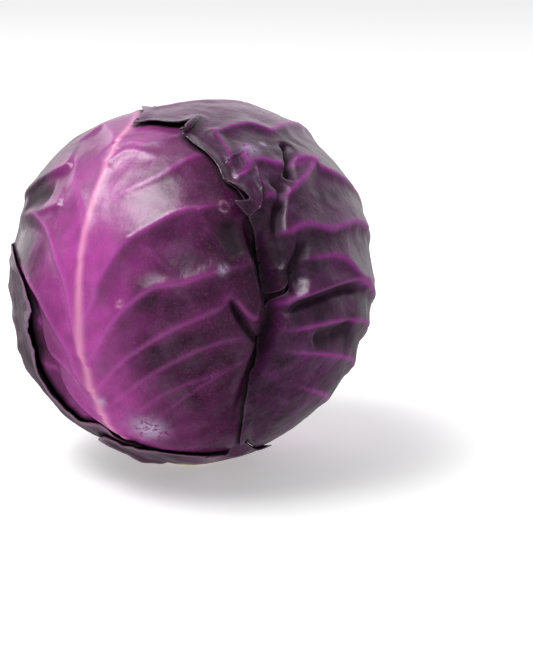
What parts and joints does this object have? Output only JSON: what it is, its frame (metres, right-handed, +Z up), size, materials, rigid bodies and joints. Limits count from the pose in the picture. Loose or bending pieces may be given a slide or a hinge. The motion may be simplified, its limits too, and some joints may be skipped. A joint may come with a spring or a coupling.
{
  "type": "red cabbage head",
  "caption": "Round red cabbage head with veined wrapper leaves wrapped over a dense heart, standing on its cut stem.",
  "frame": {"origin": "middle of the stem's cut face, at the bottom of the head", "axes": "+Z up along the stem, -Y the front, where the leaf with the bright midrib faces"},
  "size_m": [0.1513, 0.1544, 0.1491],
  "materials": {
    "stem_flesh": "matte, pale, slightly fibrous",
    "heart_leaf": "satin",
    "back_leaf": "satin, waxy",
    "front_leaf": "glossy, waxy",
    "right_leaf": "glossy, waxy",
    "left_leaf": "satin, waxy",
    "low_leaf": "satin"
  },
  "bodies": {
    "root": {"stem_and_core": "stem_flesh", "heart": "heart_leaf", "leaf_back": "back_leaf", "leaf_front": "front_leaf", "leaf_right": "right_leaf", "leaf_left": "left_leaf", "leaf_low_front": "low_leaf"}
  },
  "joints": []
}
